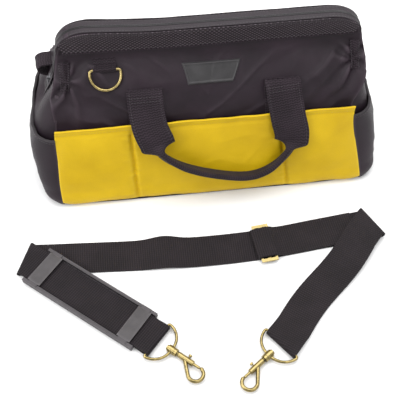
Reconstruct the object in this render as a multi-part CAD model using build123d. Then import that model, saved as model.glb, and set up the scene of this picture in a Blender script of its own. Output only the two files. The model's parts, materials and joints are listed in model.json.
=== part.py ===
from build123d import *
import math
import os

# A gate-mouth tool bag with its shoulder strap laid in front of it. Millimetres, +Z up.
# The origin is on the floor under the middle of the bag; the bag's front faces -Y.

CLOTH = 2.0          # wall cloth with its backing
POCKET_CLOTH = 1.6
WEB = 2.4            # thickness of the heavy webbing
WEB_WIDTH = 50.0
GAP = 0.3            # air between loose neighbours

# Body: rings of the eight-sided wall, as height, half length, half depth, corner share.
CORNER = (20.0, 38.0)
WALL = [
    (2.8, 236.0, 116.0, 1.0),
    (70.0, 244.0, 93.0, 1.0),
    (125.0, 231.0, 71.0, 0.8),
    (163.0, 222.0, 46.5, 0.5),
]
POCKET = [(3.2, 238.5, 118.3, 1.0), (70.0, 255.0, 98.7, 1.0), (127.0, 250.0, 82.0, 0.8)]
END_SEAM_X = 212.0
FRONT_POCKET_TOP = 127.0
END_POCKET_TOP = 120.0
DIVIDER_X = 106.0
BASE_THICK = 2.4
BOARD_THICK = 3.0

# Mouth: each half folds outwards about a line along the top of the front or back wall.
FOLD_Z = 164.0
PANEL_FOOT = (45.0, 164.5)    # distance from the middle plane, height
BAND_FOOT = (14.0, 194.0)
MOUTH_TOP = (12.0, 243.0)
MOUTH_HALF = 203.5            # half length of the mouth at its top
END_SLOPE = 0.235             # how much the half length shrinks for each mm of height
WIRE_R = 2.5
ZIP_TAPE_HALF = 12.0

# D rings
RING_X = 148.0
RING_R = 2.0
RING_BAR_Z = 187.3
RING_BAR_Y = 27.6
RING_HALF = 21.5
RING_DROP = 28.0
TAB_WIDTH = 32.0

# Carry handles
LEG_X = 97.0
HANDLE_AXIS = (52.5, 164.5)
LEG_KNEE = (87.0, 127.0)
LEG_FOOT = (104.0, 72.0)
GRIP_END = (62.0, 121.0, 42.0)
GRIP_SIZE = (24.0, 10.0)

# Zipper slider on the left end
SLIDER_Z = 150.0
PULL_LENGTH = 27.0
PULL_HEIGHT = 5.6             # of the eye above the end cloth

# Shoulder strap, laid flat: two long runs meet in the middle, and a leg folds off the far end of each.
STRAP_MIDDLE = (0.0, -225.0)
LEFT_FOLD = (-286.0, -206.0)
RIGHT_FOLD = (216.0, -201.0)
LEFT_LEG = (-40.0, 228.0)     # direction, length as far as the hook loop's bar
RIGHT_LEG = (227.0, 239.0)
LEFT_LIFT = 6.2               # underside of the left leg where it lies in the pad
LEFT_SKEW = -1.5              # how far each hook loop turns off its leg's direction
RIGHT_SKEW = -10.0
PAD_CENTRE = 114.0
PAD_SIZE = (188.0, 61.0)
PAD_FLOOR = 2.8
PAD_BAR = (70.0, 84.0)
ADJUSTER_ALONG = 56.0
RETURN_END = 192.0

# Snap hooks, measured along the hook from the bar that the webbing wraps
BAR_R = 2.0
BAR_Z = 5.9
BARREL = (20.0, 29.0)
BARREL_R = 5.4
STEM_R = 2.5
STEM_BORE = 2.55
COLLAR = (29.3, 33.3)
CASE_END = 59.5
CASE_R = 3.9
HOOK_CENTRE = (70.0, -9.5)
HOOK_R = 10.2
HOOK_WIRE = 2.6
BOLT = (48.6, 69.8)
BOLT_R = 2.0
BOLT_BORE = 2.06
KNOB_ALONG = 50.0
SPRING_FOOT = 38.4


def octagon(z, half_x, half_y, share):
    """One level of an eight-sided ring, as a closed wire."""
    cx, cy = CORNER[0] * share, CORNER[1] * share
    quarter = [(half_x, half_y - cy), (half_x - cx, half_y)]
    points = quarter + [(-x, y) for x, y in reversed(quarter)]
    points += [(-x, -y) for x, y in quarter] + [(x, -y) for x, y in reversed(quarter)]
    return Wire.make_polygon([Vector(x, y, z) for x, y in points], close=True)


def tower(levels, inset=0.0):
    """A closed solid through the levels, moved inwards by inset."""
    return Solid.make_loft([octagon(z, hx - inset, hy - inset, share) for z, hx, hy, share in levels], True)


def block(x0, x1, y0, y1, z0, z1):
    return Pos((x0 + x1) / 2, (y0 + y1) / 2, (z0 + z1) / 2) * Box(x1 - x0, y1 - y0, z1 - z0)


def outlined(points):
    """A flat face inside the closed outline."""
    return Face(Wire.make_polygon([Vector(*p) for p in points], close=True))


def round_bar(path, radius):
    """A round bar along a path."""
    start = Plane(origin=path @ 0, z_dir=path % 0)
    return sweep(start * Circle(radius), path=path, transition=Transition.ROUND)


def bent_bar(points, radius, bend, closed=False):
    """A round bar through the points, bent to the same inside radius at each."""
    return round_bar(FilletPolyline(*points, radius=bend, close=closed), radius)


def back_of(shape):
    return mirror(shape, about=Plane.XZ)


def right_of(shape):
    return mirror(shape, about=Plane.YZ)


def end_x(z):
    """Half length of the end at a height above the pockets."""
    return MOUTH_HALF + (MOUTH_TOP[1] - z) * END_SLOPE


def mouth_y(z):
    """Distance of a mouth half's outer face from the middle plane."""
    low, high = (PANEL_FOOT, BAND_FOOT) if z <= BAND_FOOT[1] else (BAND_FOOT, MOUTH_TOP)
    return low[0] + (high[0] - low[0]) * (z - low[1]) / (high[1] - low[1])


def on_slope(x0, x1, z0, z1, lift, thickness, top=None):
    """A strip on the front mouth half's slope; top gives another pair of x for its upper edge."""
    run, rise = PANEL_FOOT[0] - BAND_FOOT[0], BAND_FOOT[1] - PANEL_FOOT[1]
    length = math.hypot(run, rise)
    out = Vector(0, -rise / length, run / length)
    t0, t1 = top or (x0, x1)
    y0, y1 = -mouth_y(z0), -mouth_y(z1)
    outline = [(x0, y0, z0), (x1, y0, z0), (t1, y1, z1), (t0, y1, z1)]
    return Pos(*(out * lift)) * extrude(outlined(outline), amount=thickness, dir=out)


# ---------------------------------------------------------------- body of the bag

def walls():
    skin = tower(WALL) - tower(WALL, CLOTH)
    return {
        "front_panel": skin & block(-END_SEAM_X, END_SEAM_X, -200, 0, 0, 200),
        "back_panel": skin & block(-END_SEAM_X, END_SEAM_X, 0, 200, 0, 200),
        "left_end_panel": skin & block(-400, -END_SEAM_X, -200, 200, 0, 200),
        "right_end_panel": skin & block(END_SEAM_X, 400, -200, 200, 0, 200),
    }


def pockets():
    cloth = tower(POCKET) - tower(POCKET, POCKET_CLOTH)
    inner = END_SEAM_X + 1.5
    outer = inner + 0.8
    room = tower(POCKET, POCKET_CLOTH) - tower(WALL)
    seams = Compound(children=[
        room & block(x - 1, x + 1, -200, 0, 5, FRONT_POCKET_TOP - 9)
        for x in (-END_SEAM_X, -DIVIDER_X, DIVIDER_X, END_SEAM_X)
    ])
    return {
        "front_pocket": cloth & block(-inner, inner, -200, 0, 0, FRONT_POCKET_TOP),
        "back_pocket": cloth & block(-inner, inner, 0, 200, 0, FRONT_POCKET_TOP),
        "left_end_pocket": cloth & block(-400, -outer, -200, 200, 0, END_POCKET_TOP),
        "right_end_pocket": cloth & block(outer, 400, -200, 200, 0, END_POCKET_TOP),
        "front_pocket_seams": seams,
        "back_pocket_seams": back_of(seams),
    }


def floor_of_bag():
    z, hx, hy, share = POCKET[0]
    base = extrude(Face(octagon(0, hx, hy, share)), amount=BASE_THICK, dir=(0, 0, 1))
    board_z = WALL[0][0] + 0.2
    board = extrude(Face(octagon(board_z, hx - 9, hy - 10, share)), amount=BOARD_THICK, dir=(0, 0, 1))
    ring = extrude(Face(octagon(0.2, hx + 2.2, hy + 2.2, share)), amount=2.6, dir=(0, 0, 1))
    hole = extrude(Face(octagon(0, hx + GAP, hy + GAP, share)), amount=4, dir=(0, 0, 1))
    return {"base_panel": base, "base_board": board, "base_binding": ring - hole}


def handle_anchor(x):
    """Webbing sewn up the front wall, from inside the pocket to the handle's fold."""
    (z0, y0), (z1, y1) = (WALL[2][0], WALL[2][2]), (WALL[3][0], WALL[3][2])
    length = math.hypot(y0 - y1, z1 - z0)
    out = Vector(0, -(z1 - z0) / length, (y0 - y1) / length)
    foot, top = 0.1, 0.95
    ends = [(-(y0 + (y1 - y0) * s), z0 + (z1 - z0) * s) for s in (foot, top)]
    half = WEB_WIDTH / 2
    outline = [(x - half, *ends[0]), (x + half, *ends[0]), (x + half, *ends[1]), (x - half, *ends[1])]
    return Pos(*(out * GAP)) * extrude(outlined(outline), amount=WEB - 0.2, dir=out)


def end_frame(z):
    """Plane on the left end: its x axis runs up the end, its z axis points out of the bag."""
    up = Vector(END_SLOPE, 0, 1)
    return Plane(origin=(-end_x(z), 0, z), x_dir=up, z_dir=Vector(-1, 0, END_SLOPE))


def end_zip():
    """Closed lower stretch of the zipper on the left end: two tapes and the coil on them."""
    here = end_frame(SLIDER_Z)
    tapes = here * (Pos(-3, 0, 0.7) * Box(29, 2 * ZIP_TAPE_HALF, 1.0))
    coil = here * (Pos(-3, 0, 1.9) * Box(29, 2.6, 1.2))
    stop = here * (Pos(-19.2, 0, 1.7) * Box(3, 6, 3.0))
    return tapes, coil, stop


def grab_loop():
    """Short webbing loop behind the zipper on the left end."""
    here = end_frame(SLIDER_Z + 1)
    loop = Cylinder(11, 25, rotation=(90, 0, 0)) - Cylinder(11 - WEB, 30, rotation=(90, 0, 0))
    loop = Pos(0, 0, 8) * loop + Pos(-9.8, 0, 4) * Box(WEB, 25, 8) + Pos(9.8, 0, 4) * Box(WEB, 25, 8)
    loop &= Pos(0, 0, 20.4) * Box(60, 60, 40)
    return here * (Pos(0, 29, 0) * loop)


# ---------------------------------------------------------------- mouth halves

def end_trim(inset, bottom, top):
    """Solid between the two sloping ends, to trim a full-width sheet."""
    low, high = end_x(bottom) - inset, end_x(top) - inset
    outline = [(-low, 200, bottom), (-high, 200, top), (high, 200, top), (low, 200, bottom)]
    return extrude(outlined(outline), amount=400, dir=(0, -1, 0))


def mouth_panel():
    """Front half of the mouth: sloping cloth, then an upright stretch behind the band."""
    outer = [PANEL_FOOT, BAND_FOOT, MOUTH_TOP]
    inner = [(MOUTH_TOP[0] - 1.5, MOUTH_TOP[1]), (BAND_FOOT[0] - 1.5, BAND_FOOT[1] - 0.6),
             (PANEL_FOOT[0] - 2.2, PANEL_FOOT[1])]
    face = outlined([(-300, -y, z) for y, z in outer + inner])
    return extrude(face, amount=600, dir=(1, 0, 0)) & end_trim(0.8, 160, 250)


def mouth_band():
    """Wide webbing band round the top of the front half."""
    low, high = BAND_FOOT[1] + 1.0, MOUTH_TOP[1] + 1.0
    foot, top = end_x(low) - 2, end_x(high) - 2
    y0, y1 = -mouth_y(low) - GAP, -mouth_y(MOUTH_TOP[1]) - GAP
    face = outlined([(-foot, y0, low), (foot, y0, low), (top, y1, high), (-top, y1, high)])
    return extrude(face, amount=2.2, dir=(0, -1, 0))


def mouth_wire():
    """Steel wire that stiffens the front half: along the top and down both corners."""
    side = [(215.0, -35.5, 167.5), (209.5, -7.5, 194.0), (199.5, -7.6, 232.0), (192.0, -7.6, 239.0)]
    left = [(-x, y, z) for x, y, z in side]
    return bent_bar(left + side[::-1], WIRE_R, 5)


def wire_sleeves():
    left = on_slope(-211, -187, 166.5, 193.0, GAP, 1.2)
    return Compound(children=[left, right_of(left)])


def gusset():
    """Cloth that closes the front half's left end, from its corner to the zipper."""
    outline = [(-40.9, 165.2), (-1.3, 165.2), (-1.3, 242.8), (-9.6, 242.8), (-10.6, 194.0)]
    return extrude(outlined([(-end_x(z), y, z) for y, z in outline]), amount=1.4, dir=(1, 0, 0))


def gussets():
    left = gusset()
    return Compound(children=[left, right_of(left)])


def zip_tape():
    half = end_x(MOUTH_TOP[1])
    return block(-half, half, -ZIP_TAPE_HALF + 0.4, -1.3, MOUTH_TOP[1] + 0.3, MOUTH_TOP[1] + 1.3)


def zip_coil():
    """Front half of the zipper's coil: along the ridge and down both ends to the fold."""
    foot, top = FOLD_Z + 1.0, MOUTH_TOP[1]

    def arch(grow, lift):
        low, high = end_x(foot) + grow, end_x(top) + grow
        points = [(-low, 0, foot), (-high, 0, top + lift), (high, 0, top + lift), (low, 0, foot)]
        return extrude(outlined(points), amount=1.0, dir=(0, -1, 0))
    return Pos(0, -0.1, 0) * (arch(1.2, 2.4) - arch(-1.2, 0.2))


def label_patch():
    return on_slope(-32, 32, 167.5, 187.5, GAP, 2.0, top=(-41.5, 41.5))


def ring_tab():
    """Webbing tab that wraps the D ring's bar."""
    middle = -RING_X
    strip = on_slope(middle - TAB_WIDTH / 2, middle + TAB_WIDTH / 2, 183.5, 193.5, GAP, 1.5)
    wrap = Pos(middle, -RING_BAR_Y, RING_BAR_Z) * Cylinder(3.9, TAB_WIDTH, rotation=(0, 90, 0))
    bore = Pos(middle, -RING_BAR_Y, RING_BAR_Z) * Cylinder(RING_R + 0.08, 100, rotation=(0, 90, 0))
    return strip + wrap - bore


def d_outline(half, drop, corner):
    """A letter D lying on its back: a bar from -half to half, and a round bow below it."""
    side = drop - half
    slant = corner * (1 - math.sqrt(0.5))
    edges = [
        Line((corner - half, 0), (half - corner, 0)),
        ThreePointArc((half - corner, 0), (half - slant, slant), (half, corner)),
        Line((half, corner), (half, side)),
        ThreePointArc((half, side), (0, drop), (-half, side)),
        Line((-half, side), (-half, corner)),
        ThreePointArc((-half, corner), (slant - half, slant), (corner - half, 0)),
    ]
    return Wire(edges)


def d_ring():
    """D ring hanging down the slope from its bar."""
    run, rise = PANEL_FOOT[0] - BAND_FOOT[0], BAND_FOOT[1] - PANEL_FOOT[1]
    slope = Plane(origin=(-RING_X, -RING_BAR_Y, RING_BAR_Z), x_dir=(1, 0, 0), z_dir=(0, rise, -run))
    return slope * round_bar(d_outline(RING_HALF, RING_DROP, 4), RING_R)


# ---------------------------------------------------------------- carry handle

def handle():
    """Front carry handle: two webbing legs that hang from their fold and run into a folded grip."""
    stops = [HANDLE_AXIS, LEG_KNEE, LEG_FOOT]
    half = WEB_WIDTH / 2
    leg = Pos(-LEG_X, -HANDLE_AXIS[0], HANDLE_AXIS[1]) * Cylinder(WEB / 2, WEB_WIDTH, rotation=(0, 90, 0))
    for (ya, za), (yb, zb) in zip(stops, stops[1:]):
        length = math.hypot(yb - ya, zb - za)
        centre, across = (-LEG_X, -(ya + yb) / 2, (za + zb) / 2), (0, zb - za, yb - ya)
        leg += Plane(origin=centre, x_dir=(1, 0, 0), z_dir=across) * Box(WEB_WIDTH, length, WEB)
    leg += Pos(-LEG_X, -LEG_KNEE[0], LEG_KNEE[1]) * Cylinder(WEB / 2, WEB_WIDTH, rotation=(0, 90, 0))
    y, z = -LEG_FOOT[0], LEG_FOOT[1]
    flat = [(-LEG_X - half, y - WEB / 2, z), (-LEG_X + half, y - WEB / 2, z + 0.8),
            (-LEG_X + half, y + WEB / 2, z + 0.8), (-LEG_X - half, y + WEB / 2, z)]
    gx, gy, gz = GRIP_END
    deep, tall = GRIP_SIZE
    end = [(-gx, -gy - deep / 2, gz - tall / 2), (-gx, -gy - deep / 2, gz + tall / 2),
           (-gx, -gy + deep / 2, gz + tall / 2), (-gx, -gy + deep / 2, gz - tall / 2)]
    wires = [Wire.make_polygon([Vector(*p) for p in ring], close=True) for ring in (flat, end)]
    twist = Solid.make_loft(wires, True)
    grip = block(-gx, gx, -gy - deep / 2, -gy + deep / 2, gz - tall / 2, gz + tall / 2)
    side = leg + twist
    return side + right_of(side) + grip


# ---------------------------------------------------------------- zipper slider

def zip_slider():
    """Slider that straddles the coil, with the eye that holds its pull."""
    here = end_frame(SLIDER_Z)
    body = Pos(0, 0, 2.9) * Box(12, 8, 3.2) - Pos(0, 0, 1.9) * Box(20, 3.2, 1.9)
    body += Pos(0, 0, PULL_HEIGHT + 0.3) * Box(7, 2.2, 3.6)
    body -= Pos(0, 0, PULL_HEIGHT) * Cylinder(0.85, 10, rotation=(90, 0, 0))
    return here * body


def zip_pull():
    """Long wire pull hanging down from the slider's eye."""
    fall = 0.05
    side = [(0, 2.6), (-7, 2.6), (-11, 3.6), (2.5 - PULL_LENGTH, 3.2), (-PULL_LENGTH, 1.8)]
    outline = side + [(x, -y) for x, y in reversed(side)]
    points = [(x, y, PULL_HEIGHT + fall * x) for x, y in outline]
    return end_frame(SLIDER_Z) * bent_bar(points, 0.8, 0.9, closed=True)


# ---------------------------------------------------------------- shoulder strap

def strip(points, thickness):
    """A webbing run: a line of (along, underside height) stops, thickened upwards and given its width."""
    outline = [(u, 0, w) for u, w in points] + [(u, 0, w + thickness) for u, w in reversed(points)]
    return Pos(0, WEB_WIDTH / 2, 0) * extrude(outlined(outline), amount=WEB_WIDTH, dir=(0, -1, 0))


def run_angle(fold):
    return math.degrees(math.atan2(fold[1] - STRAP_MIDDLE[1], fold[0] - STRAP_MIDDLE[0]))


def on_run(fold, shape):
    """Places a shape drawn along +X from the strap's middle on the run to one fold."""
    return Location((*STRAP_MIDDLE, 0), (0, 0, run_angle(fold))) * shape


def on_leg(fold, angle, along=0.0, height=0.0, turn=0.0):
    """A place on a leg, turned to its direction."""
    a = math.radians(angle)
    x, y = fold[0] + along * math.cos(a), fold[1] + along * math.sin(a)
    return Location((x, y, height), (0, 0, angle + turn))


def crease_at(fold, leg_angle, beyond_angle, height):
    """The folded edge where a run turns back over itself, and what trims the leg and the run there."""
    crease = (leg_angle + beyond_angle) / 2
    here = Location((*fold, 0), (0, 0, crease))
    length = WEB_WIDTH / abs(math.sin(math.radians(crease - beyond_angle)))
    beyond = Box(400, 300, 100)
    edge = here * (Pos(0, -WEB / 2, height / 2) * Box(length - 1, WEB, height))
    return edge, here * (Pos(0, 150, 0) * beyond), here * (Pos(0, 150 - WEB, 0) * beyond)


def strap_leg(fold, leg, beyond_angle, skew, stops, thickness):
    """A leg with its folded edge and the end that wraps the hook loop's bar, and what trims the run."""
    angle, length = leg
    edge, leg_trim, run_trim = crease_at(fold, angle, beyond_angle, stops[0][1] + thickness)
    webbing = on_leg(fold, angle) * strip(stops, thickness) - leg_trim + edge
    end = on_leg(fold, angle, length, BAR_Z, skew)
    webbing -= end * (Pos(60, 0, 0) * Box(120, 90, 60))
    webbing += end * Cylinder(BAR_R + GAP + WEB, WEB_WIDTH, rotation=(90, 0, 0))
    webbing -= end * Cylinder(BAR_R + 0.08, WEB_WIDTH + 20, rotation=(90, 0, 0))
    return webbing, run_trim


def strap():
    """The strap's webbing: its two long runs in one node, and its legs."""
    end, low = LEFT_LEG[1], LEFT_LIFT - 2.0
    left_stops = [(-40, LEFT_LIFT), (end - 9, LEFT_LIFT), (end - 3, low), (end, low)]
    left, left_trim = strap_leg(LEFT_FOLD, LEFT_LEG, run_angle(LEFT_FOLD), LEFT_SKEW, left_stops, WEB)
    end, lift, floor, wrap = RIGHT_LEG[1], 2 * WEB + GAP, 0.2, BAR_Z - BAR_R - GAP - WEB
    right_stops = [(-40, lift), (72, lift), (120, floor), (205, floor), (230, wrap), (end, wrap)]
    beyond = run_angle(RIGHT_FOLD) + 360
    right, right_trim = strap_leg(RIGHT_FOLD, RIGHT_LEG, beyond, RIGHT_SKEW, right_stops, 2 * WEB)
    runs = [
        on_run(fold, strip([(-4, 0), (math.dist(fold, STRAP_MIDDLE) + 30, 0)], WEB)) - trim
        for fold, trim in ((LEFT_FOLD, left_trim), (RIGHT_FOLD, right_trim))
    ]
    return {"strap_run": runs[0] + runs[1], "strap_left_leg": left, "strap_right_leg": right}


def return_layer():
    """Second layer of webbing, from the adjuster's middle bar towards the right fold."""
    loop_half, bore_half = 5.4, 2.9
    z0, z1, z2 = WEB + GAP / 2, 5.2 - GAP, 7.4 + GAP
    edge = WEB_WIDTH / 2
    layer = block(ADJUSTER_ALONG, RETURN_END, -edge, edge, z0, 2 * WEB)
    hump = block(ADJUSTER_ALONG - loop_half, ADJUSTER_ALONG + loop_half, -edge, edge, z0, z2 + WEB)
    bore = block(ADJUSTER_ALONG - bore_half, ADJUSTER_ALONG + bore_half, -60, 60, z1, z2)
    return on_run(RIGHT_FOLD, layer + hump - bore)


def tri_glide():
    frame = block(-12, 12, -31, 31, 5.2, 7.4)
    for side in (-1, 1):
        x0, x1 = sorted((side * 2.4, side * 8.6))
        frame -= block(x0, x1, -26.5, 26.5, 4, 9)
    return on_run(RIGHT_FOLD, Pos(ADJUSTER_ALONG, 0, 0) * frame)


def shoulder_pad():
    """Moulded pad: a floor under the webbing, two rails beside it, two bars over it."""
    length, width = PAD_SIZE
    pad = block(-length / 2, length / 2, -width / 2, width / 2, PAD_FLOOR, PAD_FLOOR + 3)
    top = LEFT_LIFT + WEB + 2.6
    for side in (-1, 1):
        y0, y1 = sorted((side * (WEB_WIDTH / 2 + 1.2), side * width / 2))
        pad += block(-length / 2, length / 2, y0, y1, PAD_FLOOR, top)
        x0, x1 = sorted((side * PAD_BAR[0], side * PAD_BAR[1]))
        pad += block(x0, x1, -width / 2, width / 2, LEFT_LIFT + WEB + 0.8, top + 0.8)
    return on_leg(LEFT_FOLD, LEFT_LEG[0], PAD_CENTRE) * pad


# ---------------------------------------------------------------- snap hooks
# Drawn along +X from the bar, with the thumb knob towards +Y, and then placed at each strap end.

def along_hook(radius, start, end, across=0.0):
    """A round solid lying along the hook."""
    return Pos((start + end) / 2, across, 0) * Cylinder(radius, end - start, rotation=(0, 90, 0))


def hook_loop():
    """D loop with the barrel that the hook swivels in."""
    inner, outer, bow = (0, 25.9), (2.4, 28.3), (17.5, 20.5)
    end = (BARREL[1] - 4.5, 4.4)
    edges = [
        ThreePointArc((end[0], -end[1]), (bow[0], -bow[1]), (outer[0], -outer[1])),
        ThreePointArc((outer[0], -outer[1]), (0.7, -27.6), (inner[0], -inner[1])),
        Line((inner[0], -inner[1]), inner),
        ThreePointArc(inner, (0.7, 27.6), outer),
        ThreePointArc(outer, bow, end),
    ]
    loop = round_bar(Wire(edges), BAR_R) + along_hook(BARREL_R, *BARREL)
    return loop - along_hook(STEM_BORE, BARREL[0] - 20, BARREL[1] + 20)


def hook_curve():
    """Line of the hook's wire: from the case's side straight down to the bow, then round to the bolt."""
    x, y = HOOK_CENTRE
    root = (46, -1)
    reach = math.dist(root, HOOK_CENTRE)
    turn = math.atan2(root[1] - y, root[0] - x) + math.acos(HOOK_R / reach)
    tangent = (x + HOOK_R * math.cos(turn), y + HOOK_R * math.sin(turn))
    start = math.degrees(turn)
    return Wire([Line(root, tangent), CenterArc(HOOK_CENTRE, HOOK_R, start, 435 - start)])


def snap_hook():
    """Hook casting: swivel stem with its head, collar, neck, the bolt's case and the curved hook."""
    body = along_hook(STEM_R, 17, BARREL[1] + 3) + along_hook(3.8, BARREL[0] - 2.4, BARREL[0] - 0.4)
    body += along_hook(5.2, *COLLAR) + along_hook(3.5, COLLAR[1] - 1, SPRING_FOOT)
    curve = hook_curve()
    body += round_bar(curve, HOOK_WIRE) + Pos(*(curve @ 1)) * Sphere(HOOK_WIRE * 1.02)
    body += along_hook(CASE_R, SPRING_FOOT - 2, CASE_END)
    body -= along_hook(BOLT_BORE, SPRING_FOOT - 0.2, CASE_END + 2)
    body -= along_hook(2.3, CASE_END, BOLT[1] + 0.2)
    return body - block(KNOB_ALONG - 9.4, KNOB_ALONG + 1.4, 1, 8, -1.2, 1.2)


def plunger():
    """Sliding bolt that shuts the hook, with its thumb knob."""
    post = Pos(KNOB_ALONG, 3.9, 0) * Cylinder(0.95, 4.6, rotation=(90, 0, 0))
    knob = Pos(KNOB_ALONG, 6.9, 0) * Cylinder(2.4, 2.6, rotation=(90, 0, 0))
    return along_hook(BOLT_R, *BOLT) + post + knob


def spring():
    """Return spring behind the bolt, as a plain sleeve."""
    return along_hook(1.95, SPRING_FOOT, BOLT[0] - 0.2) - along_hook(1.4, SPRING_FOOT - 1, BOLT[0] + 1)


def main():
    tapes, coil, stop = end_zip()
    left_anchor = handle_anchor(-LEG_X)
    anchors = Compound(children=[left_anchor, right_of(left_anchor)])
    parts = {**walls(), **pockets(), **floor_of_bag()}
    parts.update({
        "front_handle_anchors": anchors, "back_handle_anchors": back_of(anchors),
        "left_end_zip_tape": tapes, "right_end_zip_tape": right_of(tapes),
        "end_zip_coils": Compound(children=[coil, right_of(coil)]),
        "zip_end_stops": Compound(children=[stop, right_of(stop)]),
        "grab_loop": grab_loop(),
        "label_patch": label_patch(),
        "front_d_ring": d_ring(), "back_d_ring": right_of(back_of(d_ring())),
        "zip_slider": zip_slider(), "zip_pull": zip_pull(),
        "front_handle": handle(), "back_handle": back_of(handle()),
        **strap(), "strap_return_layer": return_layer(),
        "tri_glide": tri_glide(), "shoulder_pad": shoulder_pad(),
    })
    halves = {
        "panel": mouth_panel(), "band": mouth_band(), "wire": mouth_wire(), "wire_sleeves": wire_sleeves(),
        "gussets": gussets(), "zip_tape": zip_tape(), "zip_coil": zip_coil(),
    }
    for name, shape in halves.items():
        parts[f"front_mouth_{name}"] = shape
        parts[f"back_mouth_{name}"] = back_of(shape)
    parts["front_ring_tab"] = ring_tab()
    parts["back_ring_tab"] = right_of(back_of(ring_tab()))
    hook = {"hook_loop": hook_loop(), "snap_hook": snap_hook(), "plunger": plunger(), "spring": spring()}
    left_place = on_leg(LEFT_FOLD, *LEFT_LEG, BAR_Z, LEFT_SKEW)
    right_place = on_leg(RIGHT_FOLD, *RIGHT_LEG, BAR_Z, RIGHT_SKEW)
    for name, shape in hook.items():
        parts[f"left_{name}"] = left_place * shape
        parts[f"right_{name}"] = right_place * mirror(shape, about=Plane.XZ)
    os.makedirs("parts", exist_ok=True)
    for name, shape in parts.items():
        export_step(shape, f"parts/{name}.step")


main()
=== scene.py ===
import json
import math

import bpy
import numpy as np
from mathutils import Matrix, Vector, noise


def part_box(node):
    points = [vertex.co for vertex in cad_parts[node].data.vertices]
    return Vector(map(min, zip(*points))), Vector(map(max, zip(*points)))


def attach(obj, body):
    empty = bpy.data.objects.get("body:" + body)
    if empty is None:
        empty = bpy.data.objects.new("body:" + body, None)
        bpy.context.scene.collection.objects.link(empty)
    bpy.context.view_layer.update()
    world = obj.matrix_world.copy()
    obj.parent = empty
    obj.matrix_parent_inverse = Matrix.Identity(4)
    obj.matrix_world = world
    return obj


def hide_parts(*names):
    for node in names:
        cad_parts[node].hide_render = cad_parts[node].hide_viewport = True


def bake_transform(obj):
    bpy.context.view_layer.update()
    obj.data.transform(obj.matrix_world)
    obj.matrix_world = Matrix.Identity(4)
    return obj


# A gate-mouth tool bag and its shoulder strap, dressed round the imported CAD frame.
# Lengths in this script are millimetres in the row frame, and become metres when a mesh is made.

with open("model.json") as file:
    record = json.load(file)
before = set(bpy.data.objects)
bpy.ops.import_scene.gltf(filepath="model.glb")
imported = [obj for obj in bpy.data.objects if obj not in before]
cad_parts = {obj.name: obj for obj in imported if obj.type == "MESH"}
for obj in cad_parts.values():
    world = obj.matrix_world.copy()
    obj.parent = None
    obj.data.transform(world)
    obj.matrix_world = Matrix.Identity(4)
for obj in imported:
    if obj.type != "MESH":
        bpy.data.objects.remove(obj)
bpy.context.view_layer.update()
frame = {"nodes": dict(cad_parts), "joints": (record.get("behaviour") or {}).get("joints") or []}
nodes = frame["nodes"]
MM = 0.001

# ---------- sizes


def low(node):
    return [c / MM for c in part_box(node)[0]]


def high(node):
    return [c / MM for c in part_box(node)[1]]


FRONT_SEAM_X = high("front_pocket")[0]
POCKET_TOP = high("front_pocket")[2]
END_POCKET_TOP = high("left_end_pocket")[2] - 8
BASE_X, BASE_Y = high("base_panel")[0], high("base_panel")[1]
DIVIDER_X = FRONT_SEAM_X / 2
RIDGE_Z = high("front_mouth_panel")[2]
RIDGE_X = high("front_mouth_zip_tape")[0]
BAND_FOOT_Z = low("front_mouth_band")[2] + 13
fold_joint = next(j for j in frame["joints"] if j["name"] == "front_mouth_fold")
FOLD_Y, FOLD_Z = -fold_joint["pos_m"][1] / MM, fold_joint["pos_m"][2] / MM
HALF_WEB = 25.0                       # half the width of the webbing
LEG_X = high("front_handle")[0] - HALF_WEB
END_LEAN = (high("front_mouth_panel")[0] - RIDGE_X) / (RIDGE_Z - FOLD_Z)
CORNER_X, CORNER_Z = 46.0, 34.0       # rounding of the mouth's top corners


def hermite(*stops):
    """A smooth function through (z, value) stops."""
    at = np.array([s[0] for s in stops], float)
    value = np.array([s[1] for s in stops], float)
    slope = np.gradient(value, at)

    def f(z):
        z = np.clip(np.asarray(z, float), at[0], at[-1])
        i = np.clip(np.searchsorted(at, z) - 1, 0, len(at) - 2)
        h = at[i + 1] - at[i]
        t = (z - at[i]) / h
        a, b = value[i], value[i + 1]
        ma, mb = slope[i] * h, slope[i + 1] * h
        t2, t3 = t * t, t * t * t
        return ((2 * t3 - 3 * t2 + 1) * a + (t3 - 2 * t2 + t) * ma
                + (3 * t2 - 2 * t3) * b + (t3 - t2) * mb)
    return f


# Half depth of the front wall and of the pocket band over it, against height.
WALL_DEPTH = hermite((3, 114), (70, 92.5), (125, 72), (150, 57.5), (FOLD_Z, 46), (178, 31.5),
                     (192, 16.5), (198, 13.6), (RIDGE_Z, 12))
POCKET_DEPTH = hermite((0.6, 112.5), (3, 116), (8, 118), (30, 112.5), (70, 99.5),
                       (POCKET_TOP, 82))
# Half length of the end wall and of the end pocket, against height.
WALL_LENGTH = hermite((3, 229), (70, 248), (112, 244), (132, 236), (163, 222), (172, 219))
POCKET_LENGTH = hermite((0.6, 232), (4, 238), (30, 252), (60, 257), (90, 255),
                        (END_POCKET_TOP, 247))


def end_half(z):
    """Half length of a mouth half at a height, with the top corner rounded off."""
    z = np.asarray(z, float)
    straight = RIDGE_X + (RIDGE_Z - np.minimum(z, RIDGE_Z - CORNER_Z)) * END_LEAN
    t = np.clip((z - (RIDGE_Z - CORNER_Z)) / CORNER_Z, 0, 1)
    return straight - CORNER_X * (1 - np.sqrt(1 - t * t))


# ---------- mesh helpers

def smooth_step(a, b, t):
    t = np.clip((t - a) / (b - a), 0, 1)
    return t * t * (3 - 2 * t)


def joined(*columns):
    """Points from coordinates of shapes that broadcast."""
    return np.stack(np.broadcast_arrays(*columns), -1)


def run_of(line):
    """Length along a line of points, from 0 at its first point."""
    return np.concatenate([[0], np.cumsum(np.linalg.norm(np.diff(line, axis=0), axis=1))])


def at_lengths(at, run, line):
    """Points of a line at the given lengths along it."""
    return np.stack([np.interp(at, run, column) for column in line.T], -1)


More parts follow.
